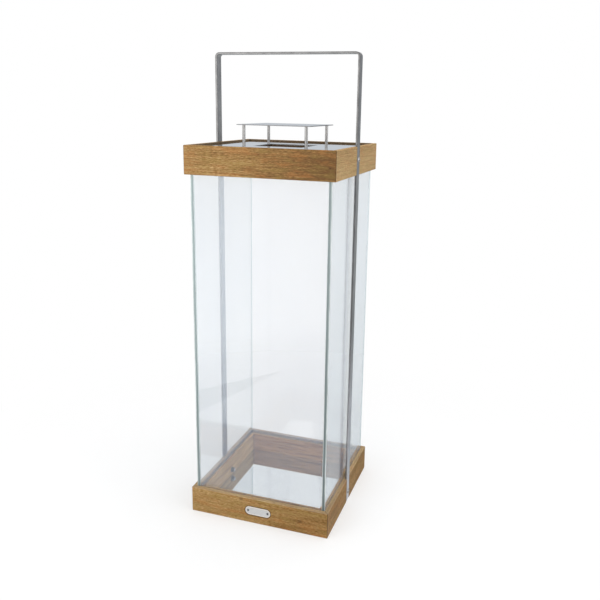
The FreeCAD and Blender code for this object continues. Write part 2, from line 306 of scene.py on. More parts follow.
class Nodes:
    """A node tree whose nodes are put in one by one."""

    def __init__(self, tree):
        self.tree = tree
        self.tree.nodes.clear()

    def put(self, kind, inputs=(), **settings):
        """Adds a node. An input that is a socket is linked, and any other is set."""
        node = self.tree.nodes.new("ShaderNode" + kind)
        for name, value in settings.items():
            setattr(node, name, value)
        for name, value in dict(inputs).items():
            if isinstance(value, bpy.types.NodeSocket):
                self.tree.links.new(value, node.inputs[name])
            else:
                node.inputs[name].default_value = value
        return node

    def math(self, operation, *values):
        """One sum on numbers or sockets."""
        return self.put("Math", dict(enumerate(values)), operation=operation).outputs[0]

    def times(self, product, *factors):
        """The product of numbers or sockets."""
        for factor in factors:
            product = self.math("MULTIPLY", product, factor)
        return product

    def spread(self, value, low, high, to_low=0.0, to_high=1.0, steps="LINEAR"):
        """A value's range from low to high, stretched to another and held within it."""
        node = self.put("MapRange", {"Value": value, "From Min": low, "From Max": high,
                                     "To Min": to_low, "To Max": to_high},
                        interpolation_type=steps)
        return node.outputs["Result"]

    def eased(self, value, low, high, to_low=0.0, to_high=1.0):
        """The same with a soft start and end."""
        return self.spread(value, low, high, to_low, to_high, "SMOOTHSTEP")

    def blend(self, share, first, second):
        """Two colours mixed by a share."""
        node = self.put("Mix", {"Factor": share, mix_first: first, mix_second: second},
                        data_type="RGBA")
        return node.outputs[mix_result]

    def darkened(self, colour, *shares):
        """A colour darkened by one share after another."""
        for share in shares:
            colour = self.blend(share, colour, BLACK)
        return colour

    def ramp(self, value, stops):
        """Colours along a value, each stop a place from 0 to 1 with its colour."""
        node = self.put("ValToRGB", {"Fac": value})
        elements = node.color_ramp.elements
        while len(elements) < len(stops):
            elements.new(new_stop_place)
        for element, (place, colour) in zip(elements, stops):
            element.position = place
            element.color = colour
        return node.outputs["Color"]

    def axes(self, vector):
        """The three numbers of a vector."""
        return self.put("SeparateXYZ", {0: vector}).outputs

    def mixed(self, share, first, second):
        """Two shaders mixed by a share."""
        return self.put("MixShader", {0: share, 1: first, 2: second}).outputs[0]

    def reflected(self):
        """1 for rays that a surface has just mirrored, 0 for all others."""
        path = self.put("LightPath").outputs
        through = self.math("SUBTRACT", 1.0, path["Is Transmission Ray"])
        return self.times(path["Is Glossy Ray"], through)

    def seen(self):
        """1 for rays of the camera, and for those by way of a gloss or through glass."""
        path = self.put("LightPath").outputs
        first = self.math("MAXIMUM", path["Is Camera Ray"], path["Is Glossy Ray"])
        return self.math("MAXIMUM", first, path["Is Transmission Ray"])


class Finish(Nodes):
    """A material and the patterns that its colour and relief are made of."""

    def __init__(self, name):
        self.material = bpy.data.materials.new(name)
        self.material.use_nodes = True
        super().__init__(self.material.node_tree)
        self.output = self.put("OutputMaterial")
        self.place = self.put("TexCoord").outputs["Object"]

    def mapped(self, scale, turn=0.0, shift=(0, 0, 0), place=None):
        """Coordinates turned about Z and shifted, then scaled."""
        turned_place = self.put("Mapping", {"Vector": place or self.place, "Location": shift,
                                            "Rotation": (0, 0, turn)}).outputs["Vector"]
        return self.put("Mapping", {"Vector": turned_place, "Scale": scale}).outputs["Vector"]

    def noise(self, scale, detail, roughness=0.5, **turned_place):
        """Noise between 0 and 1, with its blobs per metre along X, Y and Z."""
        vector = self.mapped(scale, **turned_place)
        node = self.put("TexNoise", {"Vector": vector, "Scale": 1.0, "Detail": detail,
                                     "Roughness": roughness})
        return node.outputs["Fac"]

    def past_stadium(self, along, up, box):
        """Distance from the outline of a plate with round ends that stands in the XZ plane:
        the distance from its middle line, less the radius of its ends."""
        low, high = box
        radius = (high[2] - low[2]) / 2
        reach = (high[0] - low[0]) / 2 - radius
        past_end = self.math("SUBTRACT", self.math("ABSOLUTE", along), reach)
        past_end = self.math("MAXIMUM", past_end, 0.0)
        rise = self.math("SUBTRACT", up, (low[2] + high[2]) / 2)
        return self.math("SUBTRACT", self.length(past_end, rise), radius)

    def length(self, first, second):
        """The length of a vector in a plane."""
        vector = self.put("CombineXYZ", {0: first, 1: second}).outputs[0]
        return self.put("VectorMath", {0: vector}, operation="LENGTH").outputs["Value"]

    def bump(self, height, strength, distance):
        """A normal tilted by a height."""
        node = self.put("Bump", {"Height": height, "Strength": strength, "Distance": distance})
        return node.outputs["Normal"]

    def surface(self, **inputs):
        """A Principled shader; a name's underscores stand for spaces."""
        named = {name.replace("_", " "): value for name, value in inputs.items()}
        return self.put("BsdfPrincipled", named).outputs[0]

    def show(self, shader):
        """Joins a shader to the output and gives the material."""
        self.tree.links.new(shader, self.output.inputs["Surface"])
        return self.material

    def show_metal(self, colour, rough, normal):
        """The same with bare metal."""
        return self.show(self.surface(
            Base_Color=colour, Metallic=1.0, Roughness=rough, Normal=normal))


# Oak: its patterns, in blobs per metre along the board and across it
streak_grain = (18, 330, 4.0, 0.6)
fibre_grain = (130, 800, 3.0, 0.65)
cloud_grain = (6, 26, 2.0)
pore_grain = (210, 1000, 2.0)
warmth_grain = (30, 150, 2.0)
wander_grain = (2.6, 10, 2.0)
sway_grain = (12, 50, 2.0)
broad_streak_grain = (9, 170, 4.0, 0.6)
fine_streak_grain = (40, 620, 2.0, 0.6)

# Oak: the ranges of its patterns
streak_range = (0.3, 0.7)
fibre_range = (0.32, 0.68)
cloud_range = (0.25, 0.75)
pore_range = (0.52, 0.66)
pores_by_ring = (0, 1, 0.5, 1.0)
warmer_range = (0.52, 0.68, 0.0, 0.3)
greener_range = (0.32, 0.48, 0.3, 0.0)
wander_range = (0.2, 0.8, -0.02, 0.02)
sway_range = (0.2, 0.8, -0.0025, 0.0025)
autumn_range = (0.55, 1.0)
spring_range = (0.0, 0.4, 1.0, 0.0)
wall_streak_range = (0.36, 0.64)
oak_roughness = (0.3, 0.8, 0.55, 0.72)

# Oak: how much each pattern darkens it or covers it
streak_share = 0.28
ring_share = 0.14
fibre_share = 0.42
cloud_share = 0.22
pore_share = 0.55
wall_share = 0.75
fine_streak_share = 0.4
lid_shade_share = 0.8
fibre_relief = 0.4
oak_bump = (0.3, 0.4 * MM)
oiled_ior = 1.35

# Oak: dark and pale lines, as distances and the shares that they give: the dark mitre joints,
# painted shade round the nameplate, a painted highlight on the upper arrises, and painted shade
# round and under the lid plate
mitre_line = (0.3 * MM, 1.3 * MM, 0.75, 0.0)
plate_shade_line = (0.8 * MM, 2.6 * MM, 0.95, 0.0)
arris_highlight_line = (0.6 * MM, 1.8 * MM, 0.26, 0.0)
lid_shade_past_lid = 0.5 * MM
lid_shade_starts = 30 * MM
lid_shade_full = 12.5 * MM

# Oak: a knot's stretch along the board, how many of its sizes it pushes the rings aside, and
# its dark core as a share of its size
knot_stretch = 0.6
knot_reach = 4
knot_core = 1 / 3

# Oak: its tones, among them the painted highlight on the upper arrises, the dark of the
# joints and of the painted shade round the nameplate, and the painted shade under the lid
oak_tones = ((0.12, tone(203, 172, 120)), (0.38, tone(178, 142, 89)),
             (0.64, tone(150, 112, 60)), (0.98, tone(106, 73, 33)))
beige_tones = ((0.0, tone(208, 174, 118)), (0.4, tone(190, 155, 99)),
               (0.7, tone(172, 137, 84)), (1.0, tone(140, 108, 64)))
pinker_tones = ((0.0, tone(212, 158, 104)), (0.4, tone(188, 134, 80)),
                (0.7, tone(156, 106, 60)), (1.0, tone(110, 72, 40)))
warmer_oak = tone(184, 118, 58)
greener_oak = tone(150, 128, 62)
paler_oak = tone(184, 160, 124)
arris_highlight_oak = tone(216, 200, 170)
pore_tone = tone(86, 58, 26)
knot_tone = tone(72, 44, 22)
seam_and_shade_tone = tone(58, 40, 24)
lid_shade_tone = tone(84, 72, 58)


class Oak(Finish):
    """Oiled oak: growth rings, streaks, fibre and dark pores, all along the board, with painted
    shade and a painted highlight laid over it in places.
    """

    def __init__(self, name, along_y, seed, drift, pale=0.0, knots=(), plate=None):
        super().__init__(name)
        turn = -math.pi / 2 if along_y else 0.0
        self.along_board = {"turn": turn, "shift": (seed * board_shift, 0.0, 0.0)}
        self.along, self.across, self.up = self.axes(self.mapped((1, 1, 1), turn))
        swirl, knot_shade = self.knots(knots)
        rings = self.rings(seed, swirl)
        fibre = self.grain(*fibre_grain)
        pores = self.times(self.eased(self.grain(*pore_grain), *pore_range),
                           self.spread(rings, *pores_by_ring))
        colour = self.warmed(self.ramp(self.shade(rings, fibre, drift), oak_tones))
        # Laid over the oak: a paler tone, the inner walls' tone, a painted highlight on the upper
        # arrises, pores, knots, dark joints with painted shade round the plate, and painted shade
        # under the lid
        for share, over in (
            (pale, paler_oak), (self.inner_wall(), self.wall_streaks(seed)),
            (self.arris_highlight(), arris_highlight_oak), (self.times(pores, pore_share), pore_tone),
            (knot_shade, knot_tone), (self.seams_and_plate_shade(plate), seam_and_shade_tone), (self.lid_shade(), lid_shade_tone),
        ):
            colour = self.blend(share, colour, over)
        relief = self.math("SUBTRACT", self.times(fibre, fibre_relief), pores)
        self.show(self.surface(Base_Color=colour, Roughness=self.spread(fibre, *oak_roughness),
                               IOR=oiled_ior, Normal=self.bump(relief, *oak_bump)))

    def grain(self, along, across, detail, roughness=0.5):
        """Noise stretched along the board, in blobs per metre."""
        return self.noise((along, across, across), detail, roughness, **self.along_board)

    def shade(self, rings, fibre, drift):
        """How dark the oak is: its patterns, each by its share, and the drift along the board."""
        shade = self.spread(self.along, -half_side, half_side, *drift)
        for pattern, share in (
            (self.eased(self.grain(*streak_grain), *streak_range), streak_share),
            (rings, ring_share),
            (self.eased(fibre, *fibre_range), fibre_share),
            (self.spread(self.grain(*cloud_grain), *cloud_range), cloud_share),
        ):
            shade = self.math("MULTIPLY_ADD", pattern, share, shade)
        return shade

    def warmed(self, colour):
        """A colour that wanders between warmer and greener."""
        warmth = self.grain(*warmth_grain)
        colour = self.blend(self.spread(warmth, *warmer_range), colour, warmer_oak)
        return self.blend(self.spread(warmth, *greener_range), colour, greener_oak)

    def knots(self, knots):
        """How far each small knot pushes the rings aside, and how dark it is there."""
        swirl, shade = 0.0, 0.0
        for along, up, size, darkness in knots:
            aside = self.times(self.math("SUBTRACT", self.along, along), knot_stretch)
            distance = self.length(aside, self.math("SUBTRACT", self.up, up))
            push = self.eased(distance, 0, knot_reach * size, size, 0.0)
            swirl = self.math("ADD", swirl, push)
            spot = self.eased(distance, knot_core * size, size, darkness, 0.0)
            shade = self.math("MAXIMUM", shade, spot)
        return swirl, shade

    def rings(self, seed, swirl):
        """Growth rings: the distance from a wandering pith, dark where a ring begins."""
        wander = self.spread(self.grain(*wander_grain), *wander_range)
        sway = self.spread(self.grain(*sway_grain), *sway_range)
        rise = self.math("SUBTRACT", self.up, pith_heights[seed])
        rise = self.math("ADD", self.math("ADD", rise, swirl), self.math("ADD", wander, sway))
        radius = self.length(self.across, rise)
        ring = self.math("FRACT", self.math("DIVIDE", radius, ring_width))
        autumn = self.eased(ring, *autumn_range)
        spring = self.eased(ring, *spring_range)
        return self.math("MAXIMUM", autumn, spring)

    def seams_and_plate_shade(self, plate):
        """Dark lines: the glued mitre at each corner, and painted shade round the edge of a plate
        that is let in.
        """
        apart = [self.math("ABSOLUTE", socket) for socket in (self.along, self.across)]
        from_mitre = self.math("ABSOLUTE", self.math("SUBTRACT", *apart))
        dark = self.eased(from_mitre, *mitre_line)
        if plate:
            edge = self.eased(self.past_stadium(self.along, self.up, plate), *plate_shade_line)
            outside = self.eased(self.across, -half_side, -half_side + plate_inset, 1.0, 0.0)
            dark = self.math("MAXIMUM", dark, self.times(edge, outside))
        return dark

    def within(self, wall):
        """1 on the inner side of a wall that runs round at this distance from the middle."""
        return self.eased(self.math("ABSOLUTE", self.across), wall, wall + MM, 1.0, 0.0)

    def inner_wall(self):
        """How much the inner walls of the frames are another, paler tone."""
        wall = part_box("bottom_back_board")[0][1]
        return self.times(self.within(wall), wall_share)

    def wall_streaks(self, seed):
        """Broad soft streaks for the inner walls: beige on the left boards, the last of each
        frame, and pinker on the others."""
        fine = self.times(self.grain(*fine_streak_grain), fine_streak_share)
        streaks = self.math("MULTIPLY_ADD", self.grain(*broad_streak_grain),
                            1 - fine_streak_share, fine)
        last = seed % len(SIDES) == len(SIDES) - 1
        return self.ramp(self.spread(streaks, *wall_streak_range),
                         beige_tones if last else pinker_tones)

    def arris_highlight(self):
        """A painted highlight on the upper arrises of the lower frame."""
        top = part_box("bottom_front_board")[1][2]
        return self.eased(self.math("ABSOLUTE", self.math("SUBTRACT", self.up, top)),
                          *arris_highlight_line)

    def lid_shade(self):
        """Painted shade on the walls round the lid plate and just below it, where the lid shadows
        them.
        """
        lid_low, lid_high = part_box("lid_plate")
        above = self.eased(self.up, lid_low[2] - lid_shade_starts, lid_low[2] - lid_shade_full)
        inside = self.within(lid_high[1] + lid_shade_past_lid)
        return self.times(inside, above, lid_shade_share)


# Steel of the handle: its patterns, with their blobs per metre along the bar and across it
bar_lines = ((30, 1500, 1500), 3.0, 0.6)
bar_cloud = ((40, 90, 90), 4.0, 0.65)
bar_specks = ((420, 420, 420), 2.0, 0.5)

# Steel of the handle: how much its patterns darken it, and its edges, whose places are shares
# of half its width
bar_lines_dark = (0.4, 0.7, 0.0, 0.16)
bar_cloud_dark = (0.34, 0.66, 0.0, 0.28)
bar_specks_dark = (0.62, 0.72, 0.0, 0.25)
beside_edge_dark = (0.8, 0.9, 0.0, 0.45)
on_edge_fainter = (0.95, 0.99, 1.0, 0.65)

# Steel of the handle: its inner and outer faces as shares of half its thickness, how it fades
# at the ends of the glass and towards its foot, its tones with painted shade and painted
# reflections, its roughness and its relief
inner_face = (-0.9, -0.5, 1.0, 0.0)
outer_face = (-0.5, 0.5)
glass_end_fade = 30 * MM
foot_reflection_fade = (180 * MM, 420 * MM, 1.0, 0.0)
bar_inner_tone = tone(168, 167, 166)
bar_shaded_outer_tone = tone(145, 144, 143)
bar_foot_reflection_tone = tone(228, 225, 230)
bar_glass_lit_tones = (tone(178, 179, 181), tone(230, 233, 236))
bar_roughness = (0.3, 0.7, 0.306, 0.414)
bar_bump = (0.08, 0.1 * MM)


class BarSteel(Finish):
    """Flat bar as it comes from the mill: fine lines along it and a faint clouding. Its outer
    faces carry painted shade, paled towards the foot by a painted reflection, and its inner faces
    beside the glass are painted paler, the more so the higher up, as a painted reflection of the
    glass. A dark line runs beside each edge."""

    def __init__(self, name, heights):
        super().__init__(name)
        straight = self.put("Attribute", attribute_name="straight_place").outputs["Vector"]
        self.across, offset = self.axes(straight)[1:]
        self.through = self.math("DIVIDE", offset, bar_thickness / 2)
        self.height = self.axes(self.place)[2]
        lines = self.noise(*bar_lines, place=straight)
        cloud = self.noise(*bar_cloud, place=straight)
        specks = self.noise(*bar_specks, place=straight)
        # The painted reflection of the glass on the inner faces, paler higher up
        pale = self.blend(self.spread(self.height, *heights), *bar_glass_lit_tones)
        colour = self.blend(self.glass_lit_faces(*heights), self.outer_shade_and_reflection(), pale)
        colour = self.darkened(colour, self.edges(), self.spread(cloud, *bar_cloud_dark),
                               self.spread(lines, *bar_lines_dark),
                               self.spread(specks, *bar_specks_dark))
        self.show_metal(colour, self.spread(cloud, *bar_roughness), self.bump(lines, *bar_bump))

    def glass_lit_faces(self, low, high):
        """1 on the inner faces between the heights of the glass, where a painted reflection of the
        glass pales them.
        """
        inner = self.eased(self.through, *inner_face)
        for end, inwards in ((low, glass_end_fade), (high, -glass_end_fade)):
            inner = self.times(inner, self.eased(self.height, end, end + inwards))
        return inner

    def outer_shade_and_reflection(self):
        """The inner tone, and on the outer faces painted shade that a painted reflection pales
        towards the foot.
        """
        foot = self.eased(self.height, *foot_reflection_fade)
        outer = self.blend(foot, bar_shaded_outer_tone, bar_foot_reflection_tone)
        return self.blend(self.eased(self.through, *outer_face), bar_inner_tone, outer)

    def edges(self):
        """The dark line beside each edge, fainter on the edge itself."""
        across = self.math("DIVIDE", self.math("ABSOLUTE", self.across), bar_width / 2)
        return self.times(self.eased(across, *beside_edge_dark), self.eased(across, *on_edge_fainter))


# Brushed steel: the blobs per metre along its brush lines and across them, its other patterns,
# its ranges, the shares of its tone and roughness in the lines, and its painted rim highlight
brush_along = 60.0
brush_across = 2200.0
brush_noise = (3.0, 0.6)
brush_blotches = ((90, 90, 90), 3.0)
blotch_range = (0.3, 0.7)
brush_line_range = (0.4, 0.7, 0.0, 0.4)
brush_line_tone = 0.8
brush_rough_shares = (0.8, 1.25)
brush_bump = (0.1, 0.1 * MM)
rim_highlight_range = (-2.4 * MM, -1.4 * MM)


def brushed_steel(name, colour, roughness, axis, mottle=0.08, rim_highlight=None):
    """Steel with fine brush lines along one axis and a slight mottle. A plate with a rim highlight
    has a painted highlight, a paler tone, within two millimetres of its outline."""
    finish = Finish(name)
    scale = [brush_across] * 3
    scale["XYZ".index(axis)] = brush_along
    lines = finish.noise(scale, *brush_noise)
    blotches = finish.noise(*brush_blotches)
    shade = finish.blend(finish.spread(blotches, *blotch_range), scaled(colour, 1 - mottle),
                         scaled(colour, 1 + mottle))
    shade = finish.blend(finish.spread(lines, *brush_line_range), shade,
                         scaled(colour, brush_line_tone))
    if rim_highlight:
        along, _, up = finish.axes(finish.place)
        past = finish.past_stadium(along, up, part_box("nameplate"))
        shade = finish.blend(finish.eased(past, *rim_highlight_range), shade, rim_highlight)
    smoother, rougher = (roughness * share for share in brush_rough_shares)
    rough = finish.spread(lines, *blotch_range, smoother, rougher)
    return finish.show_metal(shade, rough, finish.bump(lines, *brush_bump))


# Polished sheet: its patterns and their ranges, which way its cut edges and its underside
# face, and the shares of its tone and roughness
sheet_waves = ((14, 14, 14), 1.0)
sheet_haze = ((120, 120, 120), 4.0, 0.6)
haze_range = (0.35, 0.65)
haze_tone = 0.95
haze_rough_range = (0.3, 0.75)
haze_rough_share = 0.5
facing_down = (-0.8, -0.4, 1.0, 0.0)
facing_sideways = (0.4, 0.8, 1.0, 0.0)
cut_edge_tone = 0.3
cut_edge_roughness = 0.5
sheet_bump = (0.05, 0.4 * MM)


def mirror_steel(name, colour, roughness, below=None):
    """Polished sheet: a clear mirror with the faintest haze and waves. Its cut edges are dull
    and darker. A sheet over the candle has another tone below."""
    finish = Finish(name)
    waves = finish.noise(*sheet_waves)
    haze = finish.noise(*sheet_haze)
    shade = finish.blend(finish.spread(haze, *haze_range), colour, scaled(colour, haze_tone))
    rough = finish.spread(haze, *haze_rough_range, roughness * haze_rough_share, roughness)
    upwards = finish.axes(finish.put("TexCoord").outputs["Normal"])[2]
    if below:
        shade = finish.blend(finish.eased(upwards, *facing_down), shade, below)
    cut = finish.eased(finish.math("ABSOLUTE", upwards), *facing_sideways)
    shade = finish.blend(cut, shade, scaled(colour, cut_edge_tone))
    rough = finish.math("MAXIMUM", rough, finish.times(cut, cut_edge_roughness))
    return finish.show_metal(shade, rough, finish.bump(waves, *sheet_bump))


# Glass: its film of dust, how much that tints and covers it, and what it lets through
glass_ior = 1.52
dust_film = ((7, 7, 3), 3.0)
dust_range = (0.3, 0.7)
dust_share = (0.075, 0.095)
dusty_tint = 0.985
dust_tone = tone(204, 222, 246)
lamp_tint = tone(246, 248, 250)


def clear_glass(name, tint):
    """Float glass with the faintest tint and a thin film of dust, open to lamps."""
    finish = Finish(name)
    film = finish.noise(*dust_film)
    tint = finish.blend(finish.spread(film, *dust_range), tint, scaled(tint, dusty_tint))
    glass = finish.surface(Base_Color=tint, Roughness=0.0, IOR=glass_ior, Transmission_Weight=1.0)
    dust = finish.put("BsdfDiffuse", {"Color": dust_tone}).outputs[0]
    seen = finish.mixed(finish.spread(film, *dust_range, *dust_share), glass, dust)
    lamps = finish.put("BsdfTransparent", {"Color": lamp_tint}).outputs[0]
    shadow = finish.put("LightPath").outputs["Is Shadow Ray"]
    return finish.show(finish.mixed(shadow, seen, lamps))


# Ground edges of the glass: patterns, tones from the inner face to the outer with a painted
# highlight at the outer face, and ranges, with painted shade and painted light among them
edge_grain = ((1400, 1400, 90), 3.0)
edge_drift = ((30, 30, 9), 3.0, 0.6)
edge_drift_range = (0.3, 0.7, -0.12, 0.12)
edge_tones_and_highlight = ((0.0, tone(184, 198, 198)), (0.16, tone(136, 153, 153)),
              (0.5, tone(149, 165, 165)), (0.78, tone(192, 205, 205)),
              (1.0, tone(238, 242, 242)))
edge_grain_range = (0.42, 0.75, 0.0, 0.4)
edge_grain_tone = tone(108, 123, 124)
lower_edge_painted_shade = (0.32, 0.0)
right_edge_painted_shade = (0.0, half_side / 2, 0.0, 0.2)
outer_face_clear = (0.8, 1.0, 1.0, 0.0)
painted_light_corner_right = (0.0, half_side / 2, 0.0, 0.8)
painted_light_corner_back = (0.0, half_side / 2)
painted_light_corner_tone = tone(244, 247, 248)
edge_roughness = 0.25
edge_bump = (0.12, 0.2 * MM)
within_glass_tint = tone(232, 240, 240)


def edge_colour(finish, grain, heights):
    """A dark green-grey core that pales to a painted highlight at the outer face, with painted
    shade lower down and on the right, and painted light at the back right corner."""
    across, depth, height = finish.axes(finish.place)
    outward = finish.put("Attribute", attribute_name="outward").outputs["Fac"]
    drift = finish.spread(finish.noise(*edge_drift), *edge_drift_range)
    core = finish.math("ADD", finish.spread(outward, -1.0, 1.0), drift)
    colour = finish.blend(finish.spread(grain, *edge_grain_range), finish.ramp(core, edge_tones_and_highlight),
                          edge_grain_tone)
    shade = finish.math("ADD", finish.spread(height, *heights, *lower_edge_painted_shade),
                        finish.eased(across, *right_edge_painted_shade))
    shade = finish.times(shade, finish.spread(core, *outer_face_clear))
    corner = finish.times(finish.eased(across, *painted_light_corner_right),
                          finish.eased(depth, *painted_light_corner_back))
    return finish.blend(corner, finish.darkened(colour, shade), painted_light_corner_tone)


def glass_edge(name, heights):
    """The ground edges of the panels, that let the light through from inside the glass."""
    finish = Finish(name)
    grain = finish.noise(*edge_grain)
    ground = finish.surface(Base_Color=edge_colour(finish, grain, heights), IOR=glass_ior,
                            Roughness=edge_roughness, Normal=finish.bump(grain, *edge_bump))
    within = finish.put("BsdfTransparent", {"Color": within_glass_tint}).outputs[0]
    inside = finish.put("NewGeometry").outputs["Backfacing"]
    return finish.show(finish.mixed(inside, ground, within))


# Rubber and plain wood: the grain and its range, the cloud that wood has too and its range,
# the roughness and the relief
rubber_look = {"grain": ((800, 800, 800), 3.0), "ends": (0.3, 0.7),
               "roughness": 0.8, "relief": (0.2, 0.2 * MM)}
wood_look = {"grain": ((14, 420, 420), 4.0, 0.6), "ends": (0.35, 0.7),
             "cloud": ((5, 40, 40), 2.0), "cloud_ends": (0.4, 0.8, 0.0, 0.3),
             "roughness": 0.7, "relief": (0.15, 0.3 * MM)}


def matt(name, first, second, grain, ends, roughness, relief, cloud=None, cloud_ends=()):
    """A matt finish whose grain, and its cloud if it has one, goes from one tone to another."""
    finish = Finish(name)
    grain = finish.noise(*grain)
    colour = finish.blend(finish.spread(grain, *ends), first, second)
    if cloud:
        colour = finish.blend(finish.spread(finish.noise(*cloud), *cloud_ends), colour, second)
    return finish.show(finish.surface(Base_Color=colour, Roughness=roughness,
                                      Normal=finish.bump(grain, *relief)))


def dress(node, material):
    """Gives a carried-over piece its material in every slot."""
    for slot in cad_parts[node].material_slots:
        slot.material = material


def soften(node, radius):
    """Rounds the edges of a carried-over piece, over its mesh as it is."""
    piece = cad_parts[node]
    weld = piece.modifiers.new("weld", "WELD")
    weld.merge_threshold = weld_reach
    flat = piece.modifiers.new("flat_faces", "DECIMATE")
    flat.decimate_type = "DISSOLVE"
    flat.angle_limit = flat_turn
    arris = piece.modifiers.new("arris", "BEVEL")
    arris.width = radius
    arris.segments = arris_segments
    arris.limit_method = "ANGLE"
    arris.angle_limit = sharp_turn
    arris.harden_normals = False


# Wooden frames

def dress_boards():
    """Each board gets its own stretch of oak, with the grain along its length."""
    for seed, (node, looks) in enumerate(board_looks.items()):
        along_y = "left" in node or "right" in node
        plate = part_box("nameplate") if node == "bottom_front_board" else None
        wood = Oak("oak_" + node, along_y, seed, looks["drift"], looks.get("pale", 0.0),
                   looks.get("knots", ()), plate)
        dress(node, wood.material)
        soften(node, wood_arris)


# Glass box

def add_glass(heights):
    """The four panels, clear on their faces and green on their edges."""
    edge = glass_edge("glass_edge", heights)
    for side in SIDES:
        clear = clear_glass("glass_" + side, pane_tints[side])
        low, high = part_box("glass_" + side)
        points = rounded_block(low, high, glass_corner, glass_arris)
        panel = add_piece("pane_" + side, [skin(points)], [clear, edge], "lantern",
                          ["glass_" + side])
        across = 0 if side in ("left", "right") else 1
        towards_outside = 1 if side in ("right", "back") else -1
        middle = (low[across] + high[across]) / 2
        half = (high[across] - low[across]) / 2
        through = (points[..., across].ravel() - middle) / half
        note(panel, "outward", towards_outside * through)
        faces = panel.data.polygons
        normals = np.empty(len(faces) * 3)
        faces.foreach_get("normal", normals)
        on_edge = np.abs(normals.reshape(-1, 3)[:, across]) < flat_to_face
        faces.foreach_set("material_index", on_edge.astype(np.int32))


# Handle

def bar_path(low, high):
    """The middle line of the bent bar in the plane of the handle, its outward normals and how
    far its section draws in. A leg rises and bends over, each point of the bend being its centre
    plus the radius times the cosine and sine of the turn, and the other half mirrors it."""
    radius = bend_radius + bar_thickness / 2
    centre = np.array([radius - (high[0] - bar_thickness / 2),
                       high[2] - bar_thickness / 2 - radius])
    heights, insets = arris_rows(centre[1] - low[2], bar_arris)
    leg_rows = len(heights) // 2
    angle = np.append(np.zeros(leg_rows), np.linspace(0, math.pi / 2, bend_steps))
    normals = np.stack([-np.cos(angle), np.sin(angle)], -1)
    points = centre + radius * normals
    points[:leg_rows, 1] = low[2] + heights[:leg_rows]
    insets = np.append(insets[:leg_rows], np.zeros(bend_steps))
    mirror = np.array([-1, 1])
    return (np.concatenate([points, points[::-1] * mirror]),
            np.concatenate([normals, normals[::-1] * mirror]),
            np.concatenate([insets, insets[::-1]]))


def add_handle(steel):
    """The bar's section, a flat rectangle with worn round edges, carried along its path."""
    low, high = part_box("handle")
    path, normals, insets = bar_path(low, high)
    section = rounded_outline(bar_thickness / 2 - insets, bar_width / 2 - insets,
                              np.maximum(bar_arris - insets, bar_end_arris))
    points = np.empty(section.shape[:2] + (3,))
    points[..., 0] = path[:, None, 0] + section[..., 0] * normals[:, None, 0]
    points[..., 1] = section[..., 1]
    points[..., 2] = path[:, None, 1] + section[..., 0] * normals[:, None, 1]
    vertices, faces = skin(points)
    faces = [face[::-1] for face in faces]
    bar = add_piece("handle_bar", [(vertices, faces)], [steel], "lantern",
                    ["handle"])
    steps = np.linalg.norm(np.diff(path, axis=0), axis=1)
    length = np.broadcast_to(np.append(0, np.cumsum(steps))[:, None], section.shape[:2])
    note(bar, "straight_place", np.stack([length, section[..., 1], section[..., 0]], -1))


def thread_rows():
    """The depths of a thread's rows, and for each its radius at every angle: a wave of the depth
    and the angle along the screw, that starts from nothing over the first turn."""
    rows = thread_turns * thread_rows_per_turn
    depth = np.linspace(0, thread_turns * thread_pitch, rows)
    turns = depth[:, None] / thread_pitch
    wave = np.abs(np.mod(turns + full_turn() / (2 * math.pi), 1) * 2 - 1)
    return depth, bolt_radius - thread_depth * wave * np.minimum(1, turns)


def bolt_points(length):
    """A button-headed bolt along -Z with its head's seat at the origin. Rows run from the floor
    of the hexagon socket over the dome, whose height falls with the square of the radius, in
    under the head, and down the shank and the thread to the tip."""
    socket = hexagon_radius(bolt_socket_flats)
    floor = bolt_head_height - bolt_socket_depth
    dome = np.linspace(dome_start, 1, dome_rows)
    dome_heights = bolt_head_height * (1 - dome_fall * (dome ** 2 - dome_start ** 2))
    dome_heights[-1] = bolt_head_height * dome_rim
    depth, thread = thread_rows()
    plain_end = -(length - thread_turns * thread_pitch)
    radii = [socket * socket_draft, socket, socket, socket + 2 * band,
             *(dome * bolt_head_radius), bolt_head_radius, bolt_head_radius * head_draft,
             bolt_radius, bolt_radius, *thread, thread[-1] * tip_draft]
    heights = [floor, floor + band, bolt_head_height - 2 * band, bolt_head_height - band,
               *dome_heights, band, 0,
               0, plain_end, *(plain_end - depth), -length - bolt_radius * tip_length]
    return turned(radii, heights)[::-1]


def nut_points(across_flats, height, bore):
    """A hexagon nut on the origin: its section runs out along the foot, up the flats between
    two cones that cut the corners, in along the top and down the bore."""
    hexagon = hexagon_radius(across_flats)
    flats = [np.minimum(hexagon, across_flats / 2 * share) for share in nut_cone]
    drop = height * np.array(nut_drop)
    radii = [bore, bore + 2 * band, *flats, *flats[::-1], bore + 2 * band, bore]
    heights = [2 * band, 0, *drop, *(height - drop[::-1]), height, height - 2 * band]
    return turned(radii, heights)


def washer_points(radius, thickness, bore):
    """A flat washer on the origin with its edges taken off."""
    radii = [bore, bore + band, radius - 2 * band, radius]
    heights = [band, 0, 0, 2 * band]
    far_heights = [thickness - height for height in heights[::-1]]
    return turned(radii + radii[::-1], heights + far_heights)


def outwards(points, place, side):
    """Points made along +Z, turned to point outwards on the left (-1) or right (1) side."""
    flipped = place + points[..., ::-1] * (side, side, 1)
    return flipped[:, ::-1]


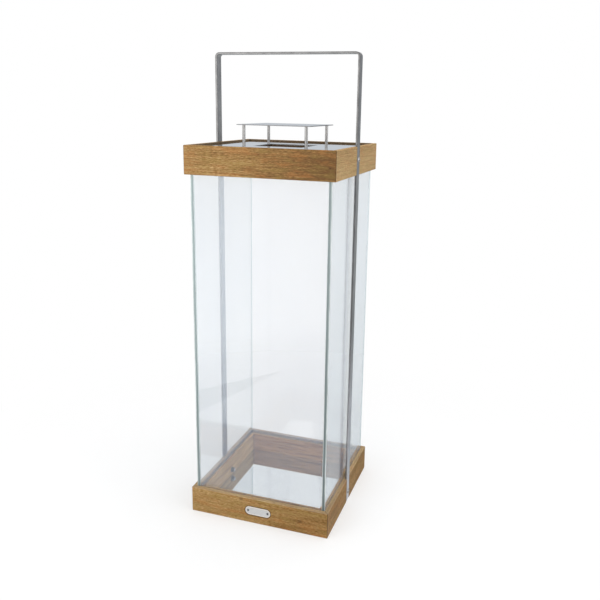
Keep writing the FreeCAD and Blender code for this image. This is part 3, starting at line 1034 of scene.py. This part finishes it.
def add_handle_fasteners(steel, bolt_steel):
    """The four bolts of the handle with their washers and nuts, at two heights on each side."""
    low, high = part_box("handle_bolts")
    seat = high[0] - bolt_head_height
    washer_low, washer_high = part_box("handle_washers")
    nut_face = washer_high[0] - washer_thickness
    washer_radius = (washer_high[1] - washer_low[1]) / 2
    washer = washer_points(washer_radius, washer_thickness, bolt_radius + 2 * band)
    nut = nut_points(nut_flats, nut_height, bolt_radius)
    bolt = bolt_points(seat - nut_face + nut_height + bolt_tail)
    for kind, points, start, finish in (("bolts", bolt, seat, bolt_steel),
                                        ("washers", washer, nut_face, steel),
                                        ("nuts", nut, nut_face - nut_height, steel)):
        skins = [skin(outwards(points, (side * start, 0, height), side), kind != "bolts")
                 for height in (low[2] + bolt_head_radius, high[2] - bolt_head_radius)
                 for side in (-1, 1)]
        add_piece(kind + "_of_handle", skins, [finish], "lantern",
                  ["handle_" + kind])


# Lid

def add_posts(steel):
    """Four turned posts between the lid plate and the cover."""
    for corner in ("front_left", "front_right", "back_left", "back_right"):
        node = "post_" + corner
        low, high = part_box(node)
        radius = (high[0] - low[0]) / 2
        heights, insets = arris_rows(high[2] - low[2], post_chamfer)
        points = turned(radius - insets, low[2] + heights)
        points[..., 0] += (low[0] + high[0]) / 2
        points[..., 1] += (low[1] + high[1]) / 2
        add_piece("turned_" + node, [skin(points)], [steel], "lid", [node])


# Studio

# Camera: where it stands, how it is turned, and the photograph's frame in pixels
camera_place = Vector((0.4947, -1.3158, 0.8394))
camera_yaw = math.radians(-18.07)
camera_pitch = math.radians(13.50)
camera_roll = math.radians(-1.04)
picture_side = 600
focal_length_pixels = 689.9
axis_pixel_x = 315
axis_pixel_y = 272


def add_camera():
    """The camera, turned by yaw, pitch and roll, with the lens and shift of the picture."""
    forward = Vector((math.sin(camera_yaw) * math.cos(camera_pitch),
                      math.cos(camera_yaw) * math.cos(camera_pitch), -math.sin(camera_pitch)))
    level_right = Vector((math.cos(camera_yaw), -math.sin(camera_yaw), 0))
    level_down = forward.cross(level_right)
    right = math.cos(camera_roll) * level_right + math.sin(camera_roll) * level_down
    down = math.cos(camera_roll) * level_down - math.sin(camera_roll) * level_right
    data = bpy.data.cameras.new("camera")
    data.lens = focal_length_pixels / picture_side * data.sensor_width
    data.shift_x = (picture_side / 2 - axis_pixel_x) / picture_side
    data.shift_y = (axis_pixel_y - picture_side / 2) / picture_side
    camera = placed("camera", data)
    turn = Matrix((right, -down, -forward)).transposed().to_4x4()
    camera.matrix_world = Matrix.Translation(camera_place) @ turn
    bpy.context.scene.camera = camera


# Lamps: three soft boxes. The overhead one isn't mirrored, so that the lid keeps its tone from
# above
lamps = {
    "key": {"place": (-1.1, -1.7, 1.3), "aim": (0, 0, 0.35), "size": (1.1, 1.3), "power": 10},
    "right_fill": {"place": (1.9, -0.3, 1.2), "aim": (0, 0, 0.4), "size": (1.2, 1.4),
                   "power": 14},
    "overhead": {"place": (0.2, 0.3, 2.4), "aim": (0, 0, 0.4), "size": (1.6, 1.6), "power": 18,
                 "mirrored": False},
}


def add_lamp(name, place, aim, size, power, mirrored=True):
    """A soft box at a place, turned to what it lights."""
    data = bpy.data.lights.new(name, "AREA")
    data.shape = "RECTANGLE"
    data.size, data.size_y = size
    data.energy = power
    lamp = placed(name, data)
    lamp.visible_glossy = mirrored
    lamp.location = place
    lamp.rotation_euler = (Vector(aim) - Vector(place)).to_track_quat("-Z", "Y").to_euler()


# World: its strength as a light, and in reflections its tones at the horizon and overhead, and
# the rises between which each fades
ambient = 0.5
horizon_tone = (0.56, 0.59, 0.63, 1)
horizon_fade = (0.1, 0.7, 1.0, 0.0)
zenith_tone = (0.7, 0.72, 0.74, 1)
zenith_fade = (0.8, 0.98)


def add_world():
    """White where it is seen, a softer white where it lights, and in reflections a backdrop
    that is a pale blue at the horizon, whitens upwards and dulls again right overhead."""
    world = bpy.data.worlds.new("studio")
    world.use_nodes = True
    bpy.context.scene.world = world
    nodes = Nodes(world.node_tree)
    strength = nodes.spread(nodes.seen(), 0, 1, ambient, 1.0)
    rise = nodes.axes(nodes.put("TexCoord").outputs["Generated"])[2]
    reflected = nodes.reflected()
    colour = WHITE
    for fade, dull in ((horizon_fade, horizon_tone), (zenith_fade, zenith_tone)):
        share = nodes.times(reflected, nodes.eased(rise, *fade))
        colour = nodes.blend(share, colour, dull)
    background = nodes.put("Background", {"Color": colour, "Strength": strength})
    nodes.put("OutputWorld", {"Surface": background.outputs[0]})


def add_stage(name, corners, material):
    """A flat piece of the studio from its corners."""
    mesh = bpy.data.meshes.new(name)
    mesh.from_pydata(corners, [], [list(range(len(corners)))])
    mesh.materials.append(material)
    piece = placed(name, mesh)
    return piece


# Floor: half its side, its grey, the glow that lifts it, and the distances between which it
# fades to white. Its mirror image is white in front, and behind it goes from one tone to another
floor_half = 12.0
floor_grey = (0.56, 0.56, 0.56, 1)
floor_glow = 0.46
floor_fade = (0.25, 0.9)
mirrored_turn = (-0.2, 0.2)
mirrored_depths = (0.3, 2.4)
mirrored_tones = ((0.48, 0.53, 0.55, 1), (0.68, 0.72, 0.74, 1))
mirrored_glow = 1.05


def add_floor():
    """A pale floor that keeps the lantern's shadow and fades to white further off. In glass and
    steel it is mirrored white in front and duller behind."""
    finish = Finish("pale_floor")
    across, depth, _ = finish.axes(finish.place)
    grey = finish.put("BsdfDiffuse", {"Color": floor_grey}).outputs[0]
    glow = finish.put("Emission", {"Strength": floor_glow}).outputs[0]
    near = finish.put("AddShader", {0: grey, 1: glow}).outputs[0]
    white = finish.put("Emission", {"Strength": 1.0}).outputs[0]
    far = finish.eased(finish.length(across, depth), *floor_fade)
    seen = finish.mixed(far, near, white)
    behind = finish.blend(finish.spread(depth, *mirrored_depths), *mirrored_tones)
    mirrored = finish.blend(finish.eased(depth, *mirrored_turn), WHITE, behind)
    duller = finish.put("Emission", {"Color": mirrored, "Strength": mirrored_glow}).outputs[0]
    seen = finish.mixed(finish.reflected(), seen, duller)
    material = finish.show(finish.mixed(finish.seen(), grey, seen))
    corners = [(x * floor_half, y * floor_half, 0) for x, y in ((-1, -1), (1, -1), (1, 1), (-1, 1))]
    add_stage("floor", corners, material)


def only_mirrored(piece):
    """Keeps a piece of the studio out of the picture and of what is seen through glass."""
    piece.visible_camera = False
    piece.visible_transmission = False


# Sweep: the slanting line on the floor where it starts, as its normal and its distance, how it
# brightens from there, its left, right and top, each with the place inside where it is full, and
# its near corner and its bend
sweep_normal = (0.791, 0.613)
sweep_start = 0.772
sweep_brightens = (0.5, 0.25, 1.0)
sweep_strength = 2.7
sweep_left = (-3.4, -2.6)
sweep_right = (0.15, -0.4)
sweep_top = (1.4, 1.0)
sweep_corner = -0.9
sweep_bend = -1.45
sweep_lift = 2 * MM


def sweep_shine(finish):
    """How bright the sweep is: 1 at its edges, and its strength inside."""
    x, y, z = finish.axes(finish.place)
    past_x = finish.times(x, -sweep_normal[0])
    past = finish.math("MULTIPLY_ADD", y, -sweep_normal[1], past_x)
    reach, faint, full = sweep_brightens
    glow = finish.eased(past, sweep_start, sweep_start + reach, faint, full)
    for value, ends in ((x, sweep_left), (x, sweep_right), (z, sweep_top)):
        glow = finish.times(glow, finish.eased(value, *ends))
    return finish.math("MULTIPLY_ADD", glow, sweep_strength - 1.0, 1.0)


def add_glowing_sweep():
    """A soft light that the front pane mirrors: a sweep that lies on the floor on the left in
    front, starts at a slanting line and stands up further out."""
    finish = Finish("glowing_sweep")
    shine = sweep_shine(finish)
    material = finish.show(finish.put("Emission", {"Strength": shine}).outputs[0])
    left, right, top = (ends[0] for ends in (sweep_left, sweep_right, sweep_top))
    near_right, near_left = (-(sweep_start + sweep_normal[0] * along) / sweep_normal[1]
                             for along in (right, sweep_corner))
    plan = ((left, sweep_bend), (right, sweep_bend), (right, near_right),
            (sweep_corner, near_left), (left, near_left))
    lying = [(x, y, sweep_lift) for x, y in plan]
    wall = ((left, sweep_lift), (left, top), (right, top), (right, sweep_lift))
    standing = [(x, sweep_bend, z) for x, z in wall]
    for name, corners in (("sweep_lying", lying), ("sweep_standing", standing)):
        only_mirrored(add_stage(name, corners, material))


# Flag: its tip, how far and which way its two sides run, and where it fades out
flag_tip = Vector((-0.255, -0.931, 3 * MM))
flag_reach = 0.62
flag_sides = (Vector((-0.27, 0.963, 0)), Vector((-0.613, 0.791, 0)))
flag_fade = (0.3, 0.6)


def add_flag():
    """A dark wedge on the floor before the sweep, that fades out from its tip and shows only as
    a slanting band of shade in the glass."""
    finish = Finish("dark_flag")
    from_tip = finish.put("VectorMath", {0: finish.place, 1: flag_tip}, operation="DISTANCE")
    fade = finish.eased(from_tip.outputs["Value"], *flag_fade)
    dark = finish.put("Emission", {"Strength": 0.0}).outputs[0]
    clear = finish.put("BsdfTransparent").outputs[0]
    material = finish.show(finish.mixed(fade, dark, clear))
    ends = [flag_tip + flag_reach * side for side in flag_sides]
    flag = add_stage("dark_flag", [flag_tip, *ends], material)
    only_mirrored(flag)
    flag.visible_diffuse = False
    flag.visible_shadow = False


# Finishes
glass_heights = (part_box("bottom_front_board")[1][2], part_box("top_front_board")[0][2])
dark_steel = BarSteel("dark_bar_steel", glass_heights).material
fastener_steel = brushed_steel("fastener_steel", tone(120, 119, 118), roughness=0.34, axis="X")
bolt_steel = brushed_steel("bolt_steel", tone(176, 173, 171), roughness=0.34, axis="X")
screw_steel = brushed_steel("nameplate_screw_steel", tone(92, 93, 95), roughness=0.35, axis="Y")
satin_steel = brushed_steel("post_steel", tone(160, 158, 156), roughness=0.3, axis="Z")
# The nameplate, with a painted highlight round its rim
plate_steel = brushed_steel("nameplate_steel", tone(198, 198, 198), roughness=0.3, axis="X",
                            mottle=0.05, rim_highlight=tone(222, 214, 204))
lid_mirror = mirror_steel("lid_steel", tone(246, 251, 255), roughness=0.04)
cover_steel = mirror_steel("cover_steel", tone(208, 208, 209), roughness=0.09,
                           below=tone(255, 234, 222))
floor_mirror = mirror_steel("floor_steel", tone(224, 229, 232), roughness=0.03)
pale_rubber = matt("bedding_rubber", tone(208, 186, 150), tone(228, 208, 174), **rubber_look)
tongue_wood = matt("tongue_beech", tone(214, 188, 152), tone(186, 152, 112), **wood_look)
panel_wood = matt("panel_ply", tone(212, 184, 142), tone(182, 148, 104), **wood_look)

# The studio
add_camera()
add_floor()
add_world()
add_glowing_sweep()
add_flag()
for name, lamp in lamps.items():
    add_lamp(name, **lamp)

# The lantern: first its new pieces, then the carried-over ones
dress_boards()
add_glass(glass_heights)
add_handle(dark_steel)
add_handle_fasteners(fastener_steel, bolt_steel)
add_posts(satin_steel)
for node, material, arris in (
    ("lid_plate", lid_mirror, sheet_arris), ("vent_cover", cover_steel, sheet_arris),
    ("nameplate", plate_steel, sheet_arris), ("nameplate_screws", screw_steel, 0),
    ("post_screws", satin_steel, 0), ("post_nuts", satin_steel, 0),
    ("floor_plate", floor_mirror, 0), ("base_panel", panel_wood, 0),
    ("bottom_mitre_tongues", tongue_wood, 0), ("top_mitre_tongues", tongue_wood, 0),
    ("bottom_bedding", pale_rubber, 0), ("top_bedding", pale_rubber, 0),
):
    dress(node, material)
    if arris:
        soften(node, arris)

bpy.context.scene.view_settings.view_transform = "Standard"
